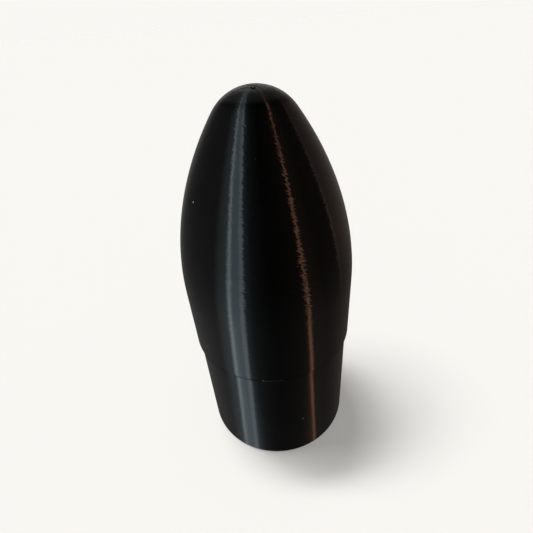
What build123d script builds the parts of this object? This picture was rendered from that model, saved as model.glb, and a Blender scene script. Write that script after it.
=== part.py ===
from build123d import *

import os
from math import atan2, cos, radians, sin, sqrt

# A printed nose cone for a model rocket with a 2.6 inch (66 mm) body tube.
#
# Frame: millimetres, +Z from the open end of the shoulder to the tip, origin at the centre
# of the shoulder's rim, where the cone stands. The eye of the eye bolt lies in the XZ plane,
# and the split ring hangs from it in the YZ plane.
#
# From the outside inwards: a hollow ogive shell with a straight collar, pushed onto the spigot
# of a shoulder sleeve and pulled off it to change the ballast; a bulkhead screwed up against a
# ledge in the sleeve; an eye bolt through the bulkhead, with a stack of ballast washers above
# the bulkhead and the shock cord's split ring below it.

# ---- the rocket's tube, which sets the cone's two outer diameters
TUBE_OD = 66.0
TUBE_ID = 65.0
SHOULDER_GAP = 0.5  # radial gap between shoulder and tube, so that the cone slides out

# ---- the shell
SHELL_R = TUBE_OD / 2
SHELL_WALL = 2.4
COLLAR_LEN = 26.5
OGIVE_RHO = 109.0  # radius of the ogive's long arc
TIP_R = 16.5  # radius of the round tip, outside
CAVITY_TIP_R = 18.0  # the same inside, where a larger radius leaves a thick tip
RIM_CHAMFER = 0.4
LIP_DEPTH = 0.5  # how far the shell's rim reaches down over the top of the shoulder
LIP_GAP = 0.1  # radial, between that lip and the shoulder

# ---- the sleeve: shoulder, spigot and ledge
SHOULDER_R = TUBE_ID / 2 - SHOULDER_GAP
SHOULDER_LEN = 52.0
SHOULDER_BORE_R = 29.6
SHOULDER_CHAMFER = 0.6
SPIGOT_GAP = 0.1  # radial, a push fit
SPIGOT_R = SHELL_R - SHELL_WALL - SPIGOT_GAP
SPIGOT_LEN = 19.0
SPIGOT_BORE_R = 28.4
SPIGOT_CHAMFER = 1.0
LEDGE_R = 22.5
LEDGE_Z = 48.0
LEDGE_HEIGHT = 8.0

# ---- the bulkhead and what fastens it
BULKHEAD_R = SHOULDER_BORE_R - 0.2
BULKHEAD_THICK = 4.0
BULKHEAD_CHAMFER = 0.5
SCREW_COUNT = 4
SCREW_CIRCLE_R = 26.4
SCREW_R = 1.5
SCREW_LEN = 9.0
SCREW_HEAD_R = 2.8
SCREW_HEAD_HEIGHT = 2.2
SCREW_RECESS_R = 0.8
SCREW_RECESS_DEPTH = 1.2
SCREW_HOLE_R = 1.7
INSERT_R = 2.3
INSERT_LEN = 5.0
INSERT_HOLE_R = 2.35
INSERT_HOLE_DEPTH = 6.5
THREAD_GAP = 0.05  # radial, between a screw or bolt and the thread that it turns in

# ---- the M5 eye bolt and what is on it
BOLT_R = 2.5
BOLT_END_CHAMFER = 0.6
BOLT_PAST_NUT = 2.5
EYE_R = 8.0  # to the middle of the eye's wire
EYE_WIRE_R = 2.5
FLANGE_R = 6.0
FLANGE_THICK = 2.0
WASHER_HOLE_R = 2.65
CLAMP_WASHER_R = 10.0
CLAMP_WASHER_THICK = 1.2
NUT_ACROSS_FLATS = 8.0
NUT_THICK = 4.0
NUT_CHAMFER = 0.5
BALLAST_COUNT = 8
BALLAST_R = 15.0
BALLAST_THICK = 1.5
LOCKNUT_HEX_THICK = 3.8
LOCKNUT_TOP_R = 3.5
LOCKNUT_TOP_HEIGHT = 1.5
LOCKNUT_LIP = 0.3
LOCKNUT_RING_R = 3.1
LOCKNUT_RING_HEIGHT = 1.1

# ---- the split ring that the shock cord is tied to
RING_R = 9.5  # to the middle of the ring's wire
RING_WIRE = 1.2  # the wire is square
RING_TURNS = 2
RING_COIL_GAP = 0.06  # between its two turns
RING_PLAY = 0.4  # between ring and eye

# ---- heights that follow
COLLAR_TOP = SHOULDER_LEN + COLLAR_LEN
SEAT_Z = SHOULDER_LEN + LIP_DEPTH  # where the shell sits on the shoulder
BULKHEAD_Z = LEDGE_Z - BULKHEAD_THICK
FLANGE_TOP = BULKHEAD_Z - CLAMP_WASHER_THICK
EYE_SINK = 1.0  # how far the eye's wire runs into the flange
EYE_Z = FLANGE_TOP - FLANGE_THICK - EYE_WIRE_R - EYE_R + EYE_SINK
EYE_BOTTOM_Z = EYE_Z - EYE_R
CLAMP_NUT_Z = LEDGE_Z + CLAMP_WASHER_THICK
BALLAST_Z = CLAMP_NUT_Z + NUT_THICK
LOCKNUT_Z = BALLAST_Z + BALLAST_COUNT * BALLAST_THICK
LOCKNUT_TOP = LOCKNUT_Z + LOCKNUT_HEX_THICK + LOCKNUT_TOP_HEIGHT
BOLT_TOP = LOCKNUT_TOP + BOLT_PAST_NUT


def ogive_points(offset, tip_r):
    """Points of a tangent ogive with a round tip, `offset` inside the outer one.

    Returns, as (radius, height) above the collar: the ogive's start, a point half way along
    its long arc, the point where the tip's arc begins, a point on that arc, and the tip.
    """
    rho = OGIVE_RHO - offset
    centre_r = SHELL_R - OGIVE_RHO
    tip_centre = sqrt((rho - tip_r) ** 2 - centre_r**2)
    join = atan2(tip_centre, -centre_r)

    def on_long_arc(angle):
        return centre_r + rho * cos(angle), rho * sin(angle)

    def on_tip(angle):
        return tip_r * cos(angle), tip_centre + tip_r * sin(angle)

    halfway = (join + radians(90)) / 2
    return on_long_arc(0), on_long_arc(join / 2), on_long_arc(join), on_tip(halfway), (0, tip_centre + tip_r)


def turned(*edges):
    """The solid that a closed outline in the XZ plane makes when it is turned about Z."""
    return revolve(make_face(Plane.XZ * (Curve() + list(edges))), Axis.Z)


def outline(*points):
    """Straight edges from point to point, each given as (radius, height)."""
    return Polyline(*points)


def nose_shell():
    """The hollow shell: straight collar, ogive and round tip, with a thin lip round its lower rim."""
    bore_r = SHELL_R - SHELL_WALL
    outer = [(r, z + COLLAR_TOP) for r, z in ogive_points(0, TIP_R)]
    inner = [(r, z + COLLAR_TOP) for r, z in ogive_points(SHELL_WALL, CAVITY_TIP_R)]
    return turned(
        outline(
            inner[0],
            (bore_r, SEAT_Z),
            (SHOULDER_R + LIP_GAP, SEAT_Z),
            (SHOULDER_R + LIP_GAP, SHOULDER_LEN),
            (SHELL_R - RIM_CHAMFER, SHOULDER_LEN),
            (SHELL_R, SHOULDER_LEN + RIM_CHAMFER),
            outer[0],
        ),
        ThreePointArc(*outer[0:3]),
        ThreePointArc(*outer[2:5]),
        Line(outer[4], inner[4]),
        ThreePointArc(*inner[2:5]),
        ThreePointArc(*inner[0:3]),
    )


def shoulder_sleeve():
    """The sleeve: the shoulder that slides into the tube, the spigot under the shell, the ledge."""
    spigot_top = SEAT_Z + SPIGOT_LEN
    ledge_top = LEDGE_Z + LEDGE_HEIGHT
    body = turned(
        outline(
            (SHOULDER_BORE_R, 0),
            (SHOULDER_R - SHOULDER_CHAMFER, 0),
            (SHOULDER_R, SHOULDER_CHAMFER),
            (SHOULDER_R, SHOULDER_LEN),
            (SHOULDER_R - LIP_DEPTH, SEAT_Z),
            (SPIGOT_R, SEAT_Z),
            (SPIGOT_R, spigot_top - SPIGOT_CHAMFER),
            (SPIGOT_R - SPIGOT_CHAMFER, spigot_top),
            (SPIGOT_BORE_R, spigot_top),
            (SPIGOT_BORE_R, ledge_top + SPIGOT_BORE_R - LEDGE_R),
            (LEDGE_R, ledge_top),
            (LEDGE_R, LEDGE_Z),
            (SHOULDER_BORE_R, LEDGE_Z),
            (SHOULDER_BORE_R, 0),
        )
    )
    return body - drilled(INSERT_HOLE_R, INSERT_HOLE_DEPTH, LEDGE_Z)


def screw_places():
    """Where the bulkhead's screws stand, seen along Z."""
    return list(PolarLocations(SCREW_CIRCLE_R, SCREW_COUNT, start_angle=180 / SCREW_COUNT))


def drilled(radius, depth, bottom):
    """The material that the screws' holes take away, from height `bottom` up."""
    return [at * cylinder(radius, bottom, bottom + depth) for at in screw_places()]


def cylinder(radius, bottom, top):
    return Pos(0, 0, bottom) * extrude(Circle(radius), top - bottom)


def washer(radius, bottom, thick):
    return cylinder(radius, bottom, bottom + thick) - cylinder(WASHER_HOLE_R, bottom, bottom + thick)


def bulkhead():
    """The disc that closes the shell's cavity and carries the eye bolt."""
    disc = cylinder(BULKHEAD_R, BULKHEAD_Z, LEDGE_Z)
    disc = chamfer(disc.edges().filter_by(GeomType.CIRCLE), BULKHEAD_CHAMFER)
    hole = cylinder(WASHER_HOLE_R, BULKHEAD_Z, LEDGE_Z)
    return disc - hole - drilled(SCREW_HOLE_R, BULKHEAD_THICK, BULKHEAD_Z)


def bulkhead_screw():
    """A pan-head screw with a hexagon socket, pointing up, at the origin's axis."""
    head = cylinder(SCREW_HEAD_R, BULKHEAD_Z - SCREW_HEAD_HEIGHT, BULKHEAD_Z)
    head = fillet(head.edges().group_by(Axis.Z)[0], SCREW_HEAD_HEIGHT / 2)
    shank = cylinder(SCREW_R, BULKHEAD_Z, BULKHEAD_Z + SCREW_LEN)
    shank = chamfer(shank.edges().group_by(Axis.Z)[-1], SCREW_R / 4)
    recess = Pos(0, 0, BULKHEAD_Z - SCREW_HEAD_HEIGHT) * extrude(
        RegularPolygon(SCREW_RECESS_R, 6), SCREW_RECESS_DEPTH
    )
    return head + shank - recess


def thread_insert():
    """A brass insert, melted into the ledge, that takes one screw."""
    top = LEDGE_Z + INSERT_LEN
    return cylinder(INSERT_R, LEDGE_Z, top) - cylinder(SCREW_R + THREAD_GAP, LEDGE_Z, top)


def eye_bolt():
    """A bent eye welded under a flange, with an M5 shank above it."""
    eye = Pos(0, 0, EYE_Z) * Rot(90, 0, 0) * Torus(EYE_R, EYE_WIRE_R)
    flange = cylinder(FLANGE_R, FLANGE_TOP - FLANGE_THICK, FLANGE_TOP)
    shank = cylinder(BOLT_R, FLANGE_TOP - FLANGE_THICK, BOLT_TOP)
    shank = chamfer(shank.edges().group_by(Axis.Z)[-1], BOLT_END_CHAMFER)
    return eye + flange + shank


def hexagon(bottom, thick):
    """A nut's hexagon, with its corners turned off above and below."""
    flats_r = NUT_ACROSS_FLATS / 2
    corner_r = flats_r / cos(radians(30))
    prism = Pos(0, 0, bottom) * extrude(RegularPolygon(flats_r, 6, major_radius=False), thick)
    cone = cylinder(corner_r, bottom, bottom + thick)
    return prism & chamfer(cone.edges().filter_by(GeomType.CIRCLE), NUT_CHAMFER)


def clamp_nut():
    """The plain nut that clamps the bulkhead between the two clamp washers."""
    return hexagon(CLAMP_NUT_Z, NUT_THICK) - cylinder(BOLT_R + THREAD_GAP, CLAMP_NUT_Z, BALLAST_Z)


def lock_nut():
    """The locking nut's steel body: a hexagon with a round top, rolled in over the nylon ring."""
    hex_top = LOCKNUT_Z + LOCKNUT_HEX_THICK
    ring_top = hex_top + LOCKNUT_RING_HEIGHT
    body = hexagon(LOCKNUT_Z, LOCKNUT_HEX_THICK) + cylinder(LOCKNUT_TOP_R, hex_top, LOCKNUT_TOP)
    body -= cylinder(BOLT_R + THREAD_GAP, LOCKNUT_Z, hex_top)
    body -= cylinder(LOCKNUT_RING_R, hex_top, ring_top)
    return body - cylinder(LOCKNUT_RING_R - LOCKNUT_LIP, ring_top, LOCKNUT_TOP)


def lock_nut_ring():
    """The nylon ring inside the locking nut's top."""
    hex_top = LOCKNUT_Z + LOCKNUT_HEX_THICK
    ring_top = hex_top + LOCKNUT_RING_HEIGHT
    return cylinder(LOCKNUT_RING_R, hex_top, ring_top) - cylinder(BOLT_R + THREAD_GAP, hex_top, ring_top)


def split_ring():
    """Two turns of square spring wire, hanging from the bottom of the eye."""
    pitch = RING_WIRE + RING_COIL_GAP
    centre_z = EYE_BOTTOM_Z - (RING_R - RING_WIRE / 2 - EYE_WIRE_R - RING_PLAY)
    path = Helix(pitch=pitch, height=pitch * RING_TURNS, radius=RING_R)
    wire = Plane(origin=path @ 0, z_dir=path % 0) * Rectangle(RING_WIRE, RING_WIRE)
    coil = sweep(wire, path, binormal=Line((0, 0, 0), (0, 0, 1)))
    return Pos(0, 0, centre_z) * Rot(0, 90, 0) * Pos(0, 0, -pitch * RING_TURNS / 2) * coil


def build():
    """Every sub-part by its name."""
    parts = {
        "nose_shell": nose_shell(),
        "shoulder_sleeve": shoulder_sleeve(),
        "bulkhead": bulkhead(),
        "eye_bolt": eye_bolt(),
        "clamp_washer_lower": washer(CLAMP_WASHER_R, FLANGE_TOP, CLAMP_WASHER_THICK),
        "clamp_washer_upper": washer(CLAMP_WASHER_R, LEDGE_Z, CLAMP_WASHER_THICK),
        "clamp_nut": clamp_nut(),
        "lock_nut": lock_nut(),
        "lock_nut_ring": lock_nut_ring(),
        "split_ring": split_ring(),
    }
    for i in range(BALLAST_COUNT):
        parts[f"ballast_washer_{i + 1}"] = washer(BALLAST_R, BALLAST_Z + i * BALLAST_THICK, BALLAST_THICK)
    for i, at in enumerate(screw_places()):
        parts[f"bulkhead_screw_{i + 1}"] = at * bulkhead_screw()
        parts[f"thread_insert_{i + 1}"] = at * thread_insert()
    return parts


def main():
    os.makedirs("parts", exist_ok=True)
    for name, shape in build().items():
        export_step(shape, os.path.join("parts", name + ".step"))


if __name__ == "__main__":
    main()
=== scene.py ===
from math import atan2, cos, pi, radians, sin, sqrt

import bpy
import numpy as np
from mathutils import Matrix, Vector

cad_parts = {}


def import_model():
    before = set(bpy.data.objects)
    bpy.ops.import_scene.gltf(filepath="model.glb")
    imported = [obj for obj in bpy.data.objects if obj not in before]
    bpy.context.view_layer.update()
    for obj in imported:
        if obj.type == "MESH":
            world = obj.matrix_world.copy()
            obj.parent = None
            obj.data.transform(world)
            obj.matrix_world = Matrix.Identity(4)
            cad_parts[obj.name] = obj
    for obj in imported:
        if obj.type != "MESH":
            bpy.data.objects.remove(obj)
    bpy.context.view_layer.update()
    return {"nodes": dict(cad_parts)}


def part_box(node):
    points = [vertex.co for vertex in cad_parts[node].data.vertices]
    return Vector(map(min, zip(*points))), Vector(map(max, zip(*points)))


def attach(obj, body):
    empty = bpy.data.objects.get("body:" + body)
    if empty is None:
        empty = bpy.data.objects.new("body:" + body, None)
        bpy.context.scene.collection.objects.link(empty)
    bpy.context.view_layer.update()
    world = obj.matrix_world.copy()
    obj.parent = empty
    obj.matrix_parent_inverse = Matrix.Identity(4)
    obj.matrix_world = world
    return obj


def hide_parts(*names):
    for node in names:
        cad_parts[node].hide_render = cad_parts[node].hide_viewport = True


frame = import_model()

# Looks of the printed nose cone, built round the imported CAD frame. Metres, +Z towards the tip.

MM = 0.001
NODES = frame["nodes"]

# ---- sizes read from the frame
SHELL_LOW, SHELL_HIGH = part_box("nose_shell")
SLEEVE_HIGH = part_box("shoulder_sleeve")[1]
BOLT_LOW, BOLT_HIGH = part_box("eye_bolt")
FLANGE_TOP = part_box("clamp_washer_lower")[0].z
BULKHEAD_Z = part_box("bulkhead")[0].z
LEDGE_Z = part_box("bulkhead")[1].z
SHELL_R = SHELL_HIGH.x
SHOULDER_R = SLEEVE_HIGH.x
RIM_Z = SHELL_LOW.z  # the shell's lower rim, where the step is
TIP_Z = SHELL_HIGH.z
SPIGOT_TOP = SLEEVE_HIGH.z

# ---- the profile's driving dimensions, the same as in the CAD
COLLAR_LEN = 26.5 * MM
OGIVE_RHO = 109 * MM
TIP_R = 16.5 * MM
SHELL_WALL = 2.4 * MM
CAVITY_TIP_R = 18 * MM
RIM_CHAMFER = 0.4 * MM
LIP_DEPTH = 0.5 * MM
LIP_GAP = 0.1 * MM
SHOULDER_BORE_R = 29.6 * MM
SHOULDER_CHAMFER = 0.6 * MM
SPIGOT_R = 30.5 * MM
SPIGOT_CHAMFER = 1 * MM
SPIGOT_BORE_R = 28.4 * MM
LEDGE_R = 22.5 * MM
LEDGE_TOP = 56 * MM
COLLAR_TOP = RIM_Z + COLLAR_LEN
SEAT_Z = RIM_Z + LIP_DEPTH

# ---- the eye bolt
BOLT_R = 2.5 * MM
EYE_R = 8 * MM
EYE_WIRE_R = 2.5 * MM
FLANGE_R = 6 * MM
FLANGE_THICK = 2 * MM
FLANGE_EDGE = 0.3 * MM
THREAD_PITCH = 0.8 * MM
THREAD_DEPTH = 0.42 * MM
THREAD_STEEPNESS = 2.4  # of its flanks: the larger, the wider its crest
THREAD_CUTS = 8  # cuts through the thread for each pitch
BOLT_SIDES, EYE_SIDES, EYE_WIRE_SIDES = 40, 64, 20
BOLT_SHARP = radians(32)  # edges that turn more than this stay sharp

# ---- the print
LAYER = 0.2 * MM
TOP_LAYER = 0.173 * MM  # what the tip leaves for the last layer
GROOVE = 0.012 * MM  # how deep the groove between two layers is
# A layer this much smaller than the one below begins to show steps, and then shows square steps.
SLOPING, STEPPED = 0.08 * MM, 0.24 * MM
CAP_ROUND, CAP_DROP = 0.12 * MM, 0.02 * MM  # how the last layer's edge is rounded, in and down
CAP_SIDE_SHARE, CAP_FLAT_SHARE = 0.6, 0.55  # how much of its height is upright, of its radius flat
PIT = Vector((0.3 * MM, -3.3 * MM, TIP_Z - 0.3 * MM))  # by the tip, where the last layers ended
PIT_R = 0.8 * MM
PIT_DEPTH = 0.35 * MM
SEAM_DEPTH = 0.25 * MM  # the groove over the first layers, which the printer's bed squashed outwards
SEAM_HEIGHT = 0.2 * MM
SEAM_EDGE = 0.06 * MM
SPIGOT_START = 0.1 * MM  # how far above the seat the spigot's layers start
SEGMENTS = 80  # round the cone
CAVITY_STEP, CAVITY_STEPS = 4.7, 11  # degrees from ring to ring of the cavity's tip, and their count
CAVITY_RINGS = 30  # along the cavity's long arc


# ---------------------------------------------------------------- meshes

def link(name, mesh, body, material, *stands_for):
    """A new piece that rides on a body and stands for some CAD nodes."""
    piece = bpy.data.objects.new(name, mesh)
    bpy.context.scene.collection.objects.link(piece)
    piece.data.materials.append(material)
    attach(piece, body)
    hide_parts(*stands_for)
    return piece


def lathe(name, rings, creases):
    """A closed mesh of revolution about Z. rings holds (radius, height), outside going up and inside
    going down; one of radius 0 is a single point. The rings whose indices are in creases stay sharp."""
    angles = np.arange(SEGMENTS) * 2 * pi / SEGMENTS - pi / 2
    points, first = [], []
    for r, z in rings:
        first.append(len(points))
        points.extend((r * cos(a), r * sin(a), z) for a in (angles if r > 0 else angles[:1]))
    faces = []
    for i in range(len(rings)):
        j = (i + 1) % len(rings)
        a, b = first[i], first[j]
        for m in range(SEGMENTS):
            n = (m + 1) % SEGMENTS
            if rings[i][0] > 0 and rings[j][0] > 0:
                faces.append((a + m, a + n, b + n, b + m))
            elif rings[i][0] > 0:
                faces.append((a + m, a + n, b))
            elif rings[j][0] > 0:
                faces.append((a, b + n, b + m))
    mesh = bpy.data.meshes.new(name)
    mesh.from_pydata(points, [], faces)
    mesh.shade_smooth()
    on_crease = np.full(len(points), -1)
    for i in creases:
        if rings[i][0] > 0:
            on_crease[first[i]:first[i] + SEGMENTS] = i
    ends = np.zeros(len(mesh.edges) * 2, int)
    mesh.edges.foreach_get("vertices", ends)
    at = on_crease[ends.reshape(-1, 2)]
    sharp = mesh.attributes.new("sharp_edge", "BOOLEAN", "EDGE")
    sharp.data.foreach_set("value", (at[:, 0] >= 0) & (at[:, 0] == at[:, 1]))
    return mesh


def printed(radius, bottom, top, first_layer=LAYER):
    """Rings of a printed outer wall, one rounded bead to a layer, and the indices of its creases.

    radius(z) is the wall's radius at a height. The more a layer is smaller than the one below, the
    more that one shows its flat top, as a step.
    """
    rings, creases = [], []
    z, thick = bottom, first_layer
    while z < top - LAYER / 100:
        upper = min(z + thick, top)
        middle = (z + upper) / 2
        r = radius(middle)
        stair = min(max((r - radius(middle + LAYER) - SLOPING) / (STEPPED - SLOPING), 0), 1)
        creases.append(len(rings))
        rings.append((radius(z) + (r - radius(z)) * stair - GROOVE, z))
        rings.append((r, middle))
        if stair > 0 and upper < top:
            creases.append(len(rings))
            rings.append((radius(upper) + (r - radius(upper)) * stair - GROOVE, upper))
        z, thick = upper, LAYER
    return rings, creases


def ogive_radius(z, offset=0.0, tip_r=TIP_R):
    """Radius at height z of the ogive that lies `offset` inside the outer one."""
    h = z - COLLAR_TOP
    rho = OGIVE_RHO - offset
    centre_r = SHELL_R - OGIVE_RHO
    tip_centre = sqrt((rho - tip_r) ** 2 - centre_r ** 2)
    join = atan2(tip_centre, -centre_r)
    if h <= 0:
        return SHELL_R - offset
    if h < rho * sin(join):
        return centre_r + sqrt(rho ** 2 - h ** 2)
    return sqrt(max(tip_r ** 2 - (h - tip_centre) ** 2, 0))


def cavity_rings():
    """The cavity's rings, from its highest point down to the collar."""
    centre_r = SHELL_R - OGIVE_RHO
    rho = OGIVE_RHO - SHELL_WALL
    top = COLLAR_TOP + sqrt((rho - CAVITY_TIP_R) ** 2 - centre_r ** 2) + CAVITY_TIP_R
    rings = [(0.0, top)]
    for i in range(CAVITY_STEPS):
        angle = radians((i + 1) * CAVITY_STEP)
        rings.append((CAVITY_TIP_R * sin(angle), top - CAVITY_TIP_R * (1 - cos(angle))))
    for z in np.linspace(rings[-1][1], COLLAR_TOP, CAVITY_RINGS)[1:]:
        rings.append((ogive_radius(z, SHELL_WALL, CAVITY_TIP_R), z))
    return rings


def shell_mesh():
    """The printed shell: chamfered rim, seam, beads up to the tip, a pit, smooth cavity, lip."""
    foot = RIM_Z + RIM_CHAMFER
    bottom = foot + SEAM_HEIGHT + 3 * SEAM_EDGE
    low = TIP_Z - TOP_LAYER  # where the last layer starts
    rings = [
        (SHELL_R - RIM_CHAMFER, RIM_Z),
        (SHELL_R, foot),
        (SHELL_R, foot + SEAM_EDGE),
        (SHELL_R - SEAM_DEPTH, foot + 2 * SEAM_EDGE),
        (SHELL_R - SEAM_DEPTH, foot + 2 * SEAM_EDGE + SEAM_HEIGHT),
    ]
    creases = list(range(len(rings)))
    beads, grooves = printed(ogive_radius, bottom, low, (low - bottom) % LAYER)
    creases += [i + len(rings) for i in grooves]
    rings += beads
    cap_r = ogive_radius(TIP_Z - TOP_LAYER / 2)
    creases += [len(rings), len(rings) + 1]
    rings += [
        (rings[-1][0] - GROOVE, low),
        (cap_r, low),
        (cap_r, low + TOP_LAYER * CAP_SIDE_SHARE),
        (cap_r - CAP_ROUND, TIP_Z - CAP_DROP),
        (cap_r * CAP_FLAT_SHARE, TIP_Z),
        (0.0, TIP_Z),
    ]
    rings += cavity_rings()
    creases += [len(rings), len(rings) + 1, len(rings) + 2]
    rings += [
        (SHELL_R - SHELL_WALL, SEAT_Z),
        (SHOULDER_R + LIP_GAP, SEAT_Z),
        (SHOULDER_R + LIP_GAP, RIM_Z),
    ]
    mesh = lathe("shell_print", rings, creases)
    for vertex in mesh.vertices:
        off = (vertex.co - PIT).length / PIT_R
        if off < 1:
            vertex.co.z -= PIT_DEPTH * (1 - off ** 2)
    return mesh


def sleeve_mesh():
    """The printed sleeve: shoulder with beads, step, spigot with beads, smooth bore and ledge."""
    rings = [(SHOULDER_R - SHOULDER_CHAMFER, 0.0)]
    creases = [0]
    beads, grooves = printed(lambda z: SHOULDER_R, SHOULDER_CHAMFER, RIM_Z)
    creases += [i + len(rings) for i in grooves] + [len(rings) + len(beads)]
    rings += beads
    rings += [(SHOULDER_R - GROOVE, RIM_Z), (SHOULDER_R - LIP_DEPTH, SEAT_Z), (SPIGOT_R, SEAT_Z)]
    creases += [len(rings) - 2, len(rings) - 1]
    beads, grooves = printed(lambda z: SPIGOT_R, SEAT_Z + SPIGOT_START, SPIGOT_TOP - SPIGOT_CHAMFER)
    creases += [i + len(rings) for i in grooves]
    rings += beads
    edge = [
        (SPIGOT_R, SPIGOT_TOP - SPIGOT_CHAMFER),
        (SPIGOT_R - SPIGOT_CHAMFER, SPIGOT_TOP),
        (SPIGOT_BORE_R, SPIGOT_TOP),
        (SPIGOT_BORE_R, LEDGE_TOP + SPIGOT_BORE_R - LEDGE_R),
        (LEDGE_R, LEDGE_TOP),
        (LEDGE_R, LEDGE_Z),
        (SHOULDER_BORE_R, LEDGE_Z),
        (SHOULDER_BORE_R, 0.0),
    ]
    creases += [len(rings) + i for i in range(len(edge))]
    rings += edge
    return lathe("sleeve_print", rings, creases)


def circle(r, z):
    """A ring of points round the bolt's axis."""
    angles = [2 * pi * m / BOLT_SIDES for m in range(BOLT_SIDES)]
    return [(r * cos(a), r * sin(a), z) for a in angles]


def thread_ring(z):
    """One cut through the thread: the radius follows the helix round the shank."""
    chamfered = min(BOLT_R, BOLT_R - (z - (BOLT_HIGH.z - THREAD_PITCH)) / 2)
    ring = []
    for m in range(BOLT_SIDES):
        phase = (z / THREAD_PITCH - m / BOLT_SIDES) % 1.0
        flank = min(abs(phase - 0.5) * THREAD_STEEPNESS, 1.0)
        r = min(BOLT_R - THREAD_DEPTH * (1 - flank), chamfered)
        a = 2 * pi * m / BOLT_SIDES
        ring.append((r * cos(a), r * sin(a), z))
    return ring


def eye_ring(centre, i):
    """One cut through the eye's wire, the eye standing in the XZ plane."""
    a = 2 * pi * i / EYE_SIDES
    ring = []
    for m in range(EYE_WIRE_SIDES):
        b = 2 * pi * m / EYE_WIRE_SIDES
        r = EYE_R + EYE_WIRE_R * cos(b)
        ring.append((r * sin(a), EYE_WIRE_R * sin(b), centre + r * cos(a)))
    return ring


def bolt_mesh():
    """The eye bolt: a threaded shank with a chamfered end, a flange, a neck and a round eye."""
    points, faces = [], []

    def tube(rings, loop=False):
        """Adds a closed tube over rings of equally many points."""
        start, count = len(points), len(rings[0])
        for ring in rings:
            points.extend(ring)
        for i in range(len(rings) if loop else len(rings) - 1):
            here, there = start + i * count, start + (i + 1) % len(rings) * count
            for m in range(count):
                n = (m + 1) % count
                faces.append([here + m, here + n, there + n, there + m])
        if not loop:
            last = start + (len(rings) - 1) * count
            faces.append([start + count - 1 - m for m in range(count)])
            faces.append([last + m for m in range(count)])

    cuts = int((BOLT_HIGH.z - FLANGE_TOP) / (THREAD_PITCH / THREAD_CUTS))
    tube([thread_ring(z) for z in np.linspace(FLANGE_TOP, BOLT_HIGH.z, cuts)])
    low = FLANGE_TOP - FLANGE_THICK
    flange = [
        circle(FLANGE_R - FLANGE_EDGE, low),
        circle(FLANGE_R, low + FLANGE_EDGE),
        circle(FLANGE_R, FLANGE_TOP - FLANGE_EDGE),
        circle(FLANGE_R - FLANGE_EDGE, FLANGE_TOP),
    ]
    tube(flange)
    centre = BOLT_LOW.z + EYE_R + EYE_WIRE_R
    tube([circle(BOLT_R, centre + EYE_R), circle(BOLT_R, low)])
    tube([eye_ring(centre, i) for i in range(EYE_SIDES)], loop=True)
    mesh = bpy.data.meshes.new("bolt_threaded")
    mesh.from_pydata(points, [], faces)
    mesh.shade_smooth()
    mesh.set_sharp_from_angle(angle=BOLT_SHARP)
    return mesh


# ---------------------------------------------------------------- materials

class Nodes:
    """A material's or the world's node tree, built one node at a time."""

    def __init__(self, owner):
        owner.use_nodes = True
        self.tree = owner.node_tree
        self.tree.nodes.clear()

    def add(self, kind, settings=None, **inputs):
        """A node of type kind. An input is a value or another node's output socket."""
        node = self.tree.nodes.new(kind)
        for key, value in (settings or {}).items():
            setattr(node, key, value)
        for key, value in inputs.items():
            by_number = key[0] == "i" and key[1:].isdigit()
            socket = node.inputs[int(key[1:]) if by_number else key.replace("_", " ")]
            if isinstance(value, bpy.types.NodeSocket):
                self.tree.links.new(value, socket)
            else:
                socket.default_value = value
        return node

    def math(self, operation, a, b=0.0):
        return self.add("ShaderNodeMath", {"operation": operation}, i0=a, i1=b).outputs[0]

    def times(self, a, b):
        return self.math("MULTIPLY", a, b)

    def vector_math(self, operation, *vectors):
        """The outputs of one operation on vectors."""
        inputs = {f"i{i}": vector for i, vector in enumerate(vectors)}
        return self.add("ShaderNodeVectorMath", {"operation": operation}, **inputs).outputs

    def remap(self, value, **limits):
        """A value carried from one range to another, each 0 to 1 unless told."""
        return self.add("ShaderNodeMapRange", None, Value=value, **limits).outputs[0]

    def smooth_step(self, value, start, end):
        """0 up to start, 1 from end on, and a soft change between them."""
        node = self.add("ShaderNodeMapRange", None, Value=value, From_Min=start, From_Max=end)
        node.interpolation_type = "SMOOTHSTEP"
        return node.outputs[0]

    def mix(self, share, a, b):
        """The colour a where share is 0, and b where it is 1."""
        return self.add("ShaderNodeMix", {"data_type": "RGBA"}, i0=share, i6=a, i7=b).outputs[2]

    def joined(self, x, y, z):
        return self.add("ShaderNodeCombineXYZ", None, X=x, Y=y, Z=z).outputs[0]

    def split(self, vector):
        return self.add("ShaderNodeSeparateXYZ", None, Vector=vector).outputs

    def ramp(self, factor, stops):
        """A colour, or a grey from a single number, for each place of factor between the stops."""
        node = self.add("ShaderNodeValToRGB", None, Fac=factor)
        elements = node.color_ramp.elements
        while len(elements) < len(stops):
            elements.new(1.0)
        for element, (at, colour) in zip(elements, stops):
            element.position = at
            element.color = (*colour, 1) if hasattr(colour, "__len__") else (colour, colour, colour, 1)
        return node.outputs[0]

    def noise(self, vector, detail, scale=1.0):
        return self.add("ShaderNodeTexNoise", None, Vector=vector, Scale=scale, Detail=detail).outputs["Fac"]

    def position(self):
        return self.add("ShaderNodeTexCoord").outputs["Object"]

    def mapped(self, scale):
        """Object coordinates in millimetres, stretched by scale."""
        return self.vector_math("MULTIPLY", self.position(), [s / MM for s in scale])[0]

    def normal(self):
        return self.add("ShaderNodeNewGeometry").outputs["True Normal"]

    def bump(self, height, distance, strength=1.0):
        node = self.add("ShaderNodeBump", None, Height=height, Distance=distance, Strength=strength)
        return node.outputs[0]

    def surface(self, shader):
        self.add("ShaderNodeOutputMaterial", None, Surface=shader)


def round_the_axis(t):
    """Object coordinates in millimetres, for what runs with the layers: x, arc length, radius, height."""
    x, y, z = t.split(t.position())
    arc = t.times(t.math("ARCTAN2", x, t.times(y, -1.0)), SHELL_R / MM)
    radius = t.vector_math("LENGTH", t.joined(x, y, 0.0))["Value"]
    return t.times(x, 1 / MM), arc, t.times(radius, 1 / MM), t.times(z, 1 / MM)


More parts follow.
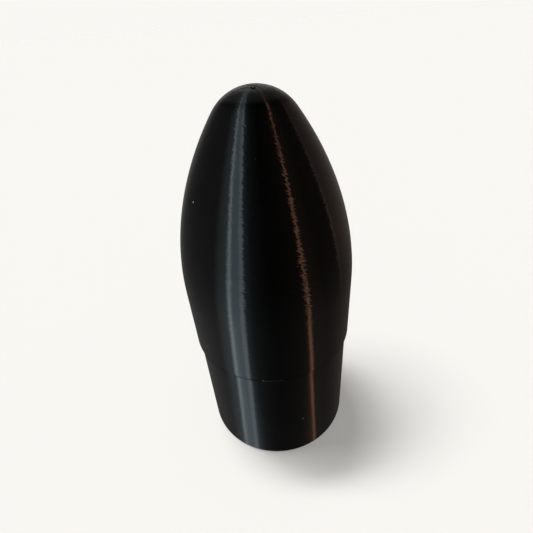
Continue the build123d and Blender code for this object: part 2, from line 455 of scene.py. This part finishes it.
# ---- the printed plastic: its textures take millimetres
BEAD_DRIFT, BEAD_CHANGE = 0.4, 1.5  # beads differ from layer to layer and wander round the cone
BEAD_SHARE = 0.5  # how strong that is beside the ripples
SLANT = 0.27  # how far the ripples sink to the right
RIPPLE_ALONG, RIPPLE_ACROSS = 0.3, 1.7
RIPPLE_DETAIL = 0.6
RIPPLE_DEPTH = 0.045 * MM
# How strong the ripples are, by the share of the whole height: most where the wall starts to curve.
RIPPLE = [(0.0, 0.7), (0.51, 0.7), (0.53, 1.6), (0.66, 1.4), (0.74, 0.9), (1.0, 0.5)]
RIPPLE_LEFT, RIPPLE_RIGHT = (-12.0, 0.65), (8.0, 1.4)  # and by x: the place, and how strong
PLASTIC = [(0.3, (0.0002, 0.0002, 0.0002)), (0.7, (0.0006, 0.0006, 0.0005))]
PLASTIC_IOR = 1.46
SMOOTHEST, ROUGHEST = 0.09, 0.13
# The last layers are rougher: from this radius on, fully from this one, and by how much.
TIP_START, TIP_FULL, TIP_ROUGHER = 8.0, 5.5, 0.3
# Painted light: the flat, upward-facing tops of layers are painted paler than their sides near the tip, as
# if lit from above; their grey, by the share of twice the radius below.
TOP_SHEEN_R = 9.6 * MM
TOP_SHEEN = [(0.0, 0.034), (0.27, 0.034), (0.31, 0.017), (0.47, 0.012), (0.53, 0.0005)]
FACING_UP = 0.95
# Painted shade: the pit by the tip is painted black over this share of its radius.
PIT_SHADE_COLOUR, PIT_SHADE_SHARE = (0.0, 0.0, 0.0, 1), 0.75
DUST_COLOUR, DUST_R = (0.35, 0.35, 0.33, 1), 0.045
DUST_CELLS, DUST_CHOICE = (0.2, 0.2, 0.2), 0.7  # cells to a millimetre, and the share left empty
# A painted glint on the rim's edge, a paler colour in patches: this far above the rim, and to each side of
# that.
RIM_GLINT_COLOUR, RIM_GLINT_Z, RIM_GLINT_HALF = (0.18, 0.18, 0.165, 1), 0.45, 0.15
RIM_GLINT_SCALE, RIM_GLINT_START, RIM_GLINT_FULL = 0.35, 0.42, 0.8


def printed_plastic():
    """Black PLA in fine layers: sharp reflections round the cone, long ones along it."""
    material = bpy.data.materials.new("printed_plastic")
    t = Nodes(material)
    x, arc, r, h = round_the_axis(t)
    layers = t.joined(t.times(arc, BEAD_DRIFT), 0.0, t.times(h, BEAD_CHANGE))
    bead = t.noise(layers, 1.0)
    along = t.times(t.math("SUBTRACT", arc, t.times(h, SLANT)), RIPPLE_ALONG)
    across = t.times(t.math("ADD", h, t.times(arc, SLANT)), RIPPLE_ACROSS)
    ripple = t.noise(t.joined(along, 0.0, across), RIPPLE_DETAIL)

    # painted light on the up-facing tops of layers, and painted shade in the pit below
    tops_shading = t.ramp(t.times(r, MM / (2 * TOP_SHEEN_R)), TOP_SHEEN)
    # painted shade in the pit: black near its middle
    off = t.vector_math("DISTANCE", t.mapped((1, 1, 1)), PIT / MM)["Value"]
    tops_shading = t.mix(t.math("LESS_THAN", off, PIT_R / MM * PIT_SHADE_SHARE), tops_shading, PIT_SHADE_COLOUR)
    facing_up = t.math("GREATER_THAN", t.split(t.normal())[2], FACING_UP)
    colour = t.mix(facing_up, t.ramp(bead, PLASTIC), tops_shading)
    cells = t.add("ShaderNodeTexVoronoi", None, Vector=t.mapped(DUST_CELLS), Scale=1.0).outputs
    number = t.add("ShaderNodeSeparateColor", None, Color=cells["Color"]).outputs[0]
    chosen = t.math("GREATER_THAN", number, DUST_CHOICE)
    speck = t.times(chosen, t.math("LESS_THAN", cells["Distance"], DUST_R))
    colour = t.mix(speck, colour, DUST_COLOUR)
    # painted glint: paler patches of colour along the rim's edge
    rim = t.math("COMPARE", h, RIM_Z / MM + RIM_GLINT_Z)
    rim.node.inputs[2].default_value = RIM_GLINT_HALF
    glint_patches = t.noise(layers, 1.0, RIM_GLINT_SCALE)
    rim_glint = t.times(rim, t.remap(glint_patches, From_Min=RIM_GLINT_START, From_Max=RIM_GLINT_FULL))
    colour = t.mix(rim_glint, colour, RIM_GLINT_COLOUR)

    rough = t.remap(ripple, To_Min=SMOOTHEST, To_Max=ROUGHEST)
    at_tip = t.remap(r, From_Min=TIP_START, From_Max=TIP_FULL)
    rough = t.math("ADD", rough, t.times(at_tip, TIP_ROUGHER))
    (left, weak), (right, strong) = RIPPLE_LEFT, RIPPLE_RIGHT
    uneven = t.remap(x, From_Min=left, From_Max=right, To_Min=weak, To_Max=strong)
    height = t.times(t.times(ripple, t.ramp(t.times(h, MM / TIP_Z), RIPPLE)), uneven)
    bump = t.bump(t.math("ADD", height, t.times(bead, BEAD_SHARE)), RIPPLE_DEPTH)
    tangent = t.add("ShaderNodeTangent", {"direction_type": "RADIAL", "axis": "Z"}).outputs[0]
    shader = t.add(
        "ShaderNodeBsdfPrincipled", None, Base_Color=colour, Roughness=rough, Normal=bump, Tangent=tangent
    )
    shader.inputs["IOR"].default_value = PLASTIC_IOR
    shader.inputs["Anisotropic"].default_value = 1.0
    shader.inputs["Anisotropic Rotation"].default_value = 0.25  # a quarter turn, so along the cone
    t.surface(shader.outputs[0])
    return material


# Plated steels: colour, roughness, and the depth of the scratches.
STEELS = {
    "zinc_steel": ((0.60, 0.61, 0.63), 0.28, 0.004 * MM),
    "ballast_steel": ((0.46, 0.47, 0.48), 0.42, 0.006 * MM),
    "black_steel": ((0.05, 0.05, 0.055), 0.35, 0.004 * MM),
    "nickel_steel": ((0.72, 0.69, 0.64), 0.18, 0.003 * MM),
    "brass": ((0.72, 0.50, 0.20), 0.3, 0.004 * MM),
}
STEEL_CLOUDS, STEEL_GRAIN = (0.35, 0.35, 0.35), (14, 2, 14)  # to a millimetre
STEEL_DARK, STEEL_SMOOTH, STEEL_ROUGH = 0.72, 0.7, 1.3  # shares of the colour and the roughness
DARK_AT, PLAIN_AT = 0.35, 0.65  # where in the clouds


def plated_steel(name, colour, roughness, scratch):
    """Plated steel with cloudy variation and fine scratches."""
    material = bpy.data.materials.new(name)
    t = Nodes(material)
    clouds = t.noise(t.mapped(STEEL_CLOUDS), 4.0)
    grain = t.noise(t.mapped(STEEL_GRAIN), 2.0)
    tone = t.ramp(clouds, [(DARK_AT, [c * STEEL_DARK for c in colour]), (PLAIN_AT, colour)])
    rough = t.remap(grain, To_Min=roughness * STEEL_SMOOTH, To_Max=roughness * STEEL_ROUGH)
    bump = t.bump(grain, scratch)
    shader = t.add("ShaderNodeBsdfPrincipled", None, Base_Color=tone, Roughness=rough, Normal=bump)
    shader.inputs["Metallic"].default_value = 1.0
    t.surface(shader.outputs[0])
    return material


PLY_PAIR = 1.6  # millimetres from one dark ply to the next
PLY_EDGE = [
    (0.0, (0.36, 0.22, 0.11)),
    (0.45, (0.40, 0.25, 0.13)),
    (0.5, (0.70, 0.53, 0.34)),
    (0.95, (0.66, 0.49, 0.30)),
]
BIRCH = [(0.2, (0.50, 0.34, 0.19)), (0.6, (0.66, 0.49, 0.31)), (0.9, (0.74, 0.58, 0.40))]
BIRCH_ROUGHNESS = 0.62
WAVE_SCALE, WAVE_SHARE = (0.012, 0.16, 0.16), 0.6
FIBRE_SCALE, FIBRE_SHARE = (0.25, 6.0, 6.0), 0.4
FIBRE_DEPTH, FIBRE_STRENGTH = 0.05 * MM, 0.6
FACE_UPRIGHT = 0.8  # a normal steeper than this belongs to the board's faces, not to its edge


def plywood():
    """Birch plywood: grain across the faces, five plies round the edge."""
    material = bpy.data.materials.new("plywood")
    t = Nodes(material)
    wave = t.add(
        "ShaderNodeTexWave", {"wave_type": "BANDS", "bands_direction": "Y"},
        Vector=t.mapped(WAVE_SCALE), Scale=1.0, Distortion=5.0, Detail=3.0, Detail_Scale=1.5,
    ).outputs["Fac"]
    fibre = t.noise(t.mapped(FIBRE_SCALE), 3.0)
    face = t.ramp(t.math("ADD", t.times(wave, WAVE_SHARE), t.times(fibre, FIBRE_SHARE)), BIRCH)
    h = t.times(t.split(t.position())[2], 1 / MM)
    ply = t.math("FRACT", t.times(t.math("SUBTRACT", h, BULKHEAD_Z / MM), 1 / PLY_PAIR))
    upright = t.math("ABSOLUTE", t.split(t.normal())[2])
    colour = t.mix(t.math("GREATER_THAN", upright, FACE_UPRIGHT), t.ramp(ply, PLY_EDGE), face)
    bump = t.bump(fibre, FIBRE_DEPTH, FIBRE_STRENGTH)
    shader = t.add(
        "ShaderNodeBsdfPrincipled", None, Base_Color=colour, Roughness=BIRCH_ROUGHNESS, Normal=bump
    )
    t.surface(shader.outputs[0])
    return material


NYLON = [(0.3, (0.62, 0.66, 0.70)), (0.7, (0.74, 0.76, 0.78))]
NYLON_CLOUDS = (0.8, 0.8, 0.8)
NYLON_ROUGHNESS, NYLON_SUBSURFACE = 0.45, 0.2


def nylon():
    """Natural nylon: slightly cloudy, and a little light goes into it."""
    material = bpy.data.materials.new("nylon")
    t = Nodes(material)
    colour = t.ramp(t.noise(t.mapped(NYLON_CLOUDS), 3.0), NYLON)
    shader = t.add("ShaderNodeBsdfPrincipled", None, Base_Color=colour, Roughness=NYLON_ROUGHNESS)
    shader.inputs["Subsurface Weight"].default_value = NYLON_SUBSURFACE
    t.surface(shader.outputs[0])
    return material


# ---------------------------------------------------------------- stage, light, camera

FLOOR_HALF = 6.0
FLOOR_COLOUR = (0.90, 0.885, 0.85)
FLOOR_CLOUDS, FLOOR_PALER = (0.02, 0.02, 0.02), 1.004
AMBIENT = 0.40
FLOOR_SHARE = 0.25  # how much of the light that falls on the floor it gives back
FLOOR_GLOW = 0.295  # light that reaches the floor from so many sides that nothing shades it
# The key lights, as the floor's brightness counts them: share, azimuth, elevation, spread in degrees.
KEYS = [
    (0.12, -96, 61, 14),
    (0.11, -113, 66, 9),
    (0.16, -122, 72, 7),
    (0.15, -135, 76, 6),
    (0.12, -156, 79, 6),
]
BACKDROP = [c * (AMBIENT * FLOOR_SHARE + FLOOR_GLOW + sum(k[0] for k in KEYS)) for c in FLOOR_COLOUR]

# The room as the plastic mirrors it at eye height, from behind the cone round by the left: azimuth
# in degrees, counted from the camera's side towards +X, and the colour there.
ROOM = [
    (-180, (0.12, 0.12, 0.12)),
    (-126, (0.09, 0.09, 0.09)),
    (-100, (0.105, 0.105, 0.105)),
    (-67, (0.14, 0.14, 0.14)),
    (-60, (0.34, 0.37, 0.38)),
    (-50, (0.48, 0.60, 0.64)),
    (-47, (2.50, 3.00, 3.20)),  # a bright window's frame
    (-45.5, (2.50, 3.00, 3.20)),
    (-43.5, (0.95, 1.20, 1.32)),
    (-35, (0.95, 1.18, 1.32)),
    (-32.5, (1.55, 1.92, 2.15)),
    (-29.8, (1.55, 1.92, 2.15)),
    (-28, (0.26, 0.31, 0.36)),
    (-20, (0.10, 0.11, 0.12)),
    (-10, (0.04, 0.045, 0.045)),
    (2, (0.012, 0.012, 0.012)),
    (24, (0.03, 0.027, 0.02)),
    (40, (0.07, 0.055, 0.04)),
    (41, (2.20, 1.05, 0.64)),  # a warm lamp
    (43, (2.20, 1.05, 0.64)),
    (44, (0.13, 0.09, 0.065)),
    (66, (0.055, 0.044, 0.032)),
    (94, (0.055, 0.042, 0.032)),
    (130, (0.06, 0.048, 0.04)),
    (180, (0.12, 0.12, 0.12)),
]
# A wall that starts behind the cone on the right, and only above the table.
WALL = [
    (-180, (0.07, 0.07, 0.07)),
    (-150, (0.07, 0.07, 0.065)),
    (-130, (0.0, 0.0, 0.0)),
    (95, (0.0, 0.0, 0.0)),
    (95.6, (0.30, 0.23, 0.20)),
    (97.2, (0.30, 0.23, 0.20)),
    (98.5, (0.13, 0.09, 0.075)),
    (130, (0.12, 0.095, 0.08)),
    (180, (0.07, 0.07, 0.07)),
]
WALL_START, WALL_FULL = -0.65, -0.2  # the mirrored direction's height
CEILING = (0.085, 0.085, 0.085, 1)
CEILING_START, CEILING_FULL = 0.96, 0.995  # the same
# Lights stand lower in the room as the mirrored direction falls: how bright they stay, by the
# direction's height, and the dim light from the table that is added.
DIMMING = [(-0.90, 0.28), (-0.85, 0.50), (-0.80, 0.70), (-0.77, 1.0), (1.0, 1.0)]
TABLE = [(-0.90, 0.034), (-0.70, 0.030), (-0.45, 0.006), (0.50, 0.003), (1.0, 0.02)]
# How far the lights lean towards the camera's side, in degrees, above and below eye height.
LEAN_ABOVE, LEAN_BELOW = 12.5, 30

SENSOR_WIDTH = 36.0
FOCAL_SHARE = 0.6886  # focal length over the frame's width
CLIP_START, CLIP_END = 0.01, 50.0
CAMERA_DISTANCE = 6.2114 * SHELL_R
CAMERA_ELEVATION = radians(54.37)
CAMERA_TURN, CAMERA_NOD, CAMERA_ROLL = radians(0.15), radians(-18.92), radians(-4.73)


def floor():
    """A plain pale floor, left out of reflections so that the black plastic stays black, and clear
    from below so that the underside can be looked at."""
    material = bpy.data.materials.new("floor")
    t = Nodes(material)
    shade = [c * FLOOR_SHARE for c in FLOOR_COLOUR]
    paler = [c * FLOOR_PALER for c in shade]
    colour = t.ramp(t.noise(t.mapped(FLOOR_CLOUDS), 2.0), [(0.0, shade), (1.0, paler)])
    lit = t.add("ShaderNodeBsdfDiffuse", None, Color=colour).outputs[0]
    glow = t.add("ShaderNodeEmission", None, Color=(*FLOOR_COLOUR, 1), Strength=FLOOR_GLOW).outputs[0]
    shader = t.add("ShaderNodeAddShader", None, i0=lit, i1=glow).outputs[0]
    below = t.add("ShaderNodeNewGeometry").outputs["Backfacing"]
    clear = t.add("ShaderNodeBsdfTransparent").outputs[0]
    t.surface(t.add("ShaderNodeMixShader", None, i0=below, i1=shader, i2=clear).outputs[0])
    mesh = bpy.data.meshes.new("floor")
    corners = [(-1, -1), (1, -1), (1, 1), (-1, 1)]
    mesh.from_pydata([(x * FLOOR_HALF, y * FLOOR_HALF, 0) for x, y in corners], [], [(0, 1, 2, 3)])
    mesh.materials.append(material)
    stage = bpy.data.objects.new("floor", mesh)
    bpy.context.scene.collection.objects.link(stage)
    stage.visible_glossy = False
    stage.visible_shadow = False


def mirrored_room(t):
    """The room's colour in the direction that a reflection looks."""
    x, y, z = t.split(t.add("ShaderNodeTexCoord").outputs["Generated"])
    turn = t.math("ARCTAN2", x, t.times(y, -1.0))
    lean = t.math("ADD", t.times(t.math("LESS_THAN", z, 0.0), LEAN_BELOW - LEAN_ABOVE), LEAN_ABOVE)
    lean = t.times(t.times(lean, pi / 180), t.times(z, z))
    turn = t.math("SUBTRACT", turn, t.times(lean, t.math("SINE", turn)))
    round_share = t.math("ADD", t.times(turn, 1 / (2 * pi)), 0.5)
    up_share = t.math("ADD", t.times(z, 0.5), 0.5)
    room = t.ramp(round_share, [(0.5 + azimuth / 360, colour) for azimuth, colour in ROOM])
    wall = t.ramp(round_share, [(0.5 + azimuth / 360, colour) for azimuth, colour in WALL])
    dimming = t.ramp(up_share, [(0.5 + height / 2, share) for height, share in DIMMING])
    table = t.ramp(up_share, [(0.5 + height / 2, grey) for height, grey in TABLE])
    wall = t.vector_math("MULTIPLY", wall, t.smooth_step(z, WALL_START, WALL_FULL))[0]
    lights = t.vector_math("MULTIPLY_ADD", room, dimming, wall)[0]
    lights = t.vector_math("ADD", lights, table)[0]
    return t.mix(t.smooth_step(z, CEILING_START, CEILING_FULL), lights, CEILING)


def world():
    """Plain pale light all round, and for reflections the room's windows and dark side."""
    made = bpy.data.worlds.new("world")
    bpy.context.scene.world = made
    t = Nodes(made)
    path = t.add("ShaderNodeLightPath").outputs
    plain = t.mix(path["Is Camera Ray"], (AMBIENT, AMBIENT, AMBIENT, 1), (*BACKDROP, 1))
    seen = t.mix(path["Is Glossy Ray"], plain, mirrored_room(t))
    background = t.add("ShaderNodeBackground", None, Color=seen)
    t.add("ShaderNodeOutputWorld", None, Surface=background.outputs[0])


def key_lights():
    """Soft lamps on the left and a little behind, for the shadow on the floor."""
    for i, (strength, azimuth, elevation, spread) in enumerate(KEYS):
        lamp = bpy.data.lights.new(f"key_{i + 1}", "SUN")
        lamp.angle = radians(spread)
        azimuth, elevation = radians(azimuth), radians(elevation)
        lamp.energy = strength / FLOOR_SHARE * pi / sin(elevation)
        holder = bpy.data.objects.new(f"key_{i + 1}", lamp)
        bpy.context.scene.collection.objects.link(holder)
        level = cos(elevation)
        towards = Vector((sin(azimuth) * level, -cos(azimuth) * level, sin(elevation)))
        holder.rotation_mode = "QUATERNION"
        holder.rotation_quaternion = towards.to_track_quat("Z", "Y")
        holder.visible_glossy = False


def camera():
    """The photographer's phone: held close, looking down past the cone's foot."""
    data = bpy.data.cameras.new("camera")
    data.sensor_width = SENSOR_WIDTH
    data.lens = FOCAL_SHARE * SENSOR_WIDTH
    data.clip_start, data.clip_end = CLIP_START, CLIP_END
    holder = bpy.data.objects.new("camera", data)
    bpy.context.scene.collection.objects.link(holder)
    rise, level = sin(CAMERA_ELEVATION), cos(CAMERA_ELEVATION)
    axes = Matrix(((1, 0, 0), (0, -rise, -level), (0, level, -rise)))  # right, down, forward
    roll = Matrix.Rotation(CAMERA_ROLL, 3, "Z")
    nod = Matrix.Rotation(CAMERA_NOD, 3, "X")
    turn = Matrix.Rotation(CAMERA_TURN, 3, "Y")
    turned = roll @ nod @ turn @ axes
    right, down, forward = turned.row
    place = Matrix.Translation((0, -CAMERA_DISTANCE * level, CAMERA_DISTANCE * rise))
    holder.matrix_world = place @ Matrix((right, -down, -forward)).transposed().to_4x4()
    bpy.context.scene.camera = holder


# ---------------------------------------------------------------- the whole

def paint(node, material):
    """Gives a CAD node that keeps its shape a material."""
    slots = NODES[node].data.materials
    slots.clear()
    slots.append(material)


def build():
    """Three new meshes, which stand for CAD nodes, and a material on every other CAD node."""
    plastic = printed_plastic()
    steel = {name: plated_steel(name, *look) for name, look in STEELS.items()}
    zinc = steel["zinc_steel"]
    link("shell_print", shell_mesh(), "shell", plastic, "nose_shell")
    link("sleeve_print", sleeve_mesh(), "shoulder", plastic, "shoulder_sleeve")
    link("bolt_threaded", bolt_mesh(), "shoulder", zinc, "eye_bolt")
    finishes = {
        "bulkhead": plywood(),
        "clamp_washer": zinc,
        "clamp_nut": zinc,
        "lock_nut_ring": nylon(),
        "lock_nut": zinc,
        "ballast_washer": steel["ballast_steel"],
        "bulkhead_screw": steel["black_steel"],
        "thread_insert": steel["brass"],
        "split_ring": steel["nickel_steel"],
    }
    for node in NODES:
        if node in ("nose_shell", "shoulder_sleeve", "eye_bolt"):
            continue
        start = max((s for s in finishes if node.startswith(s)), key=len)
        paint(node, finishes[start])


bpy.context.scene.view_settings.view_transform = "Standard"
build()
floor()
world()
key_lights()
camera()
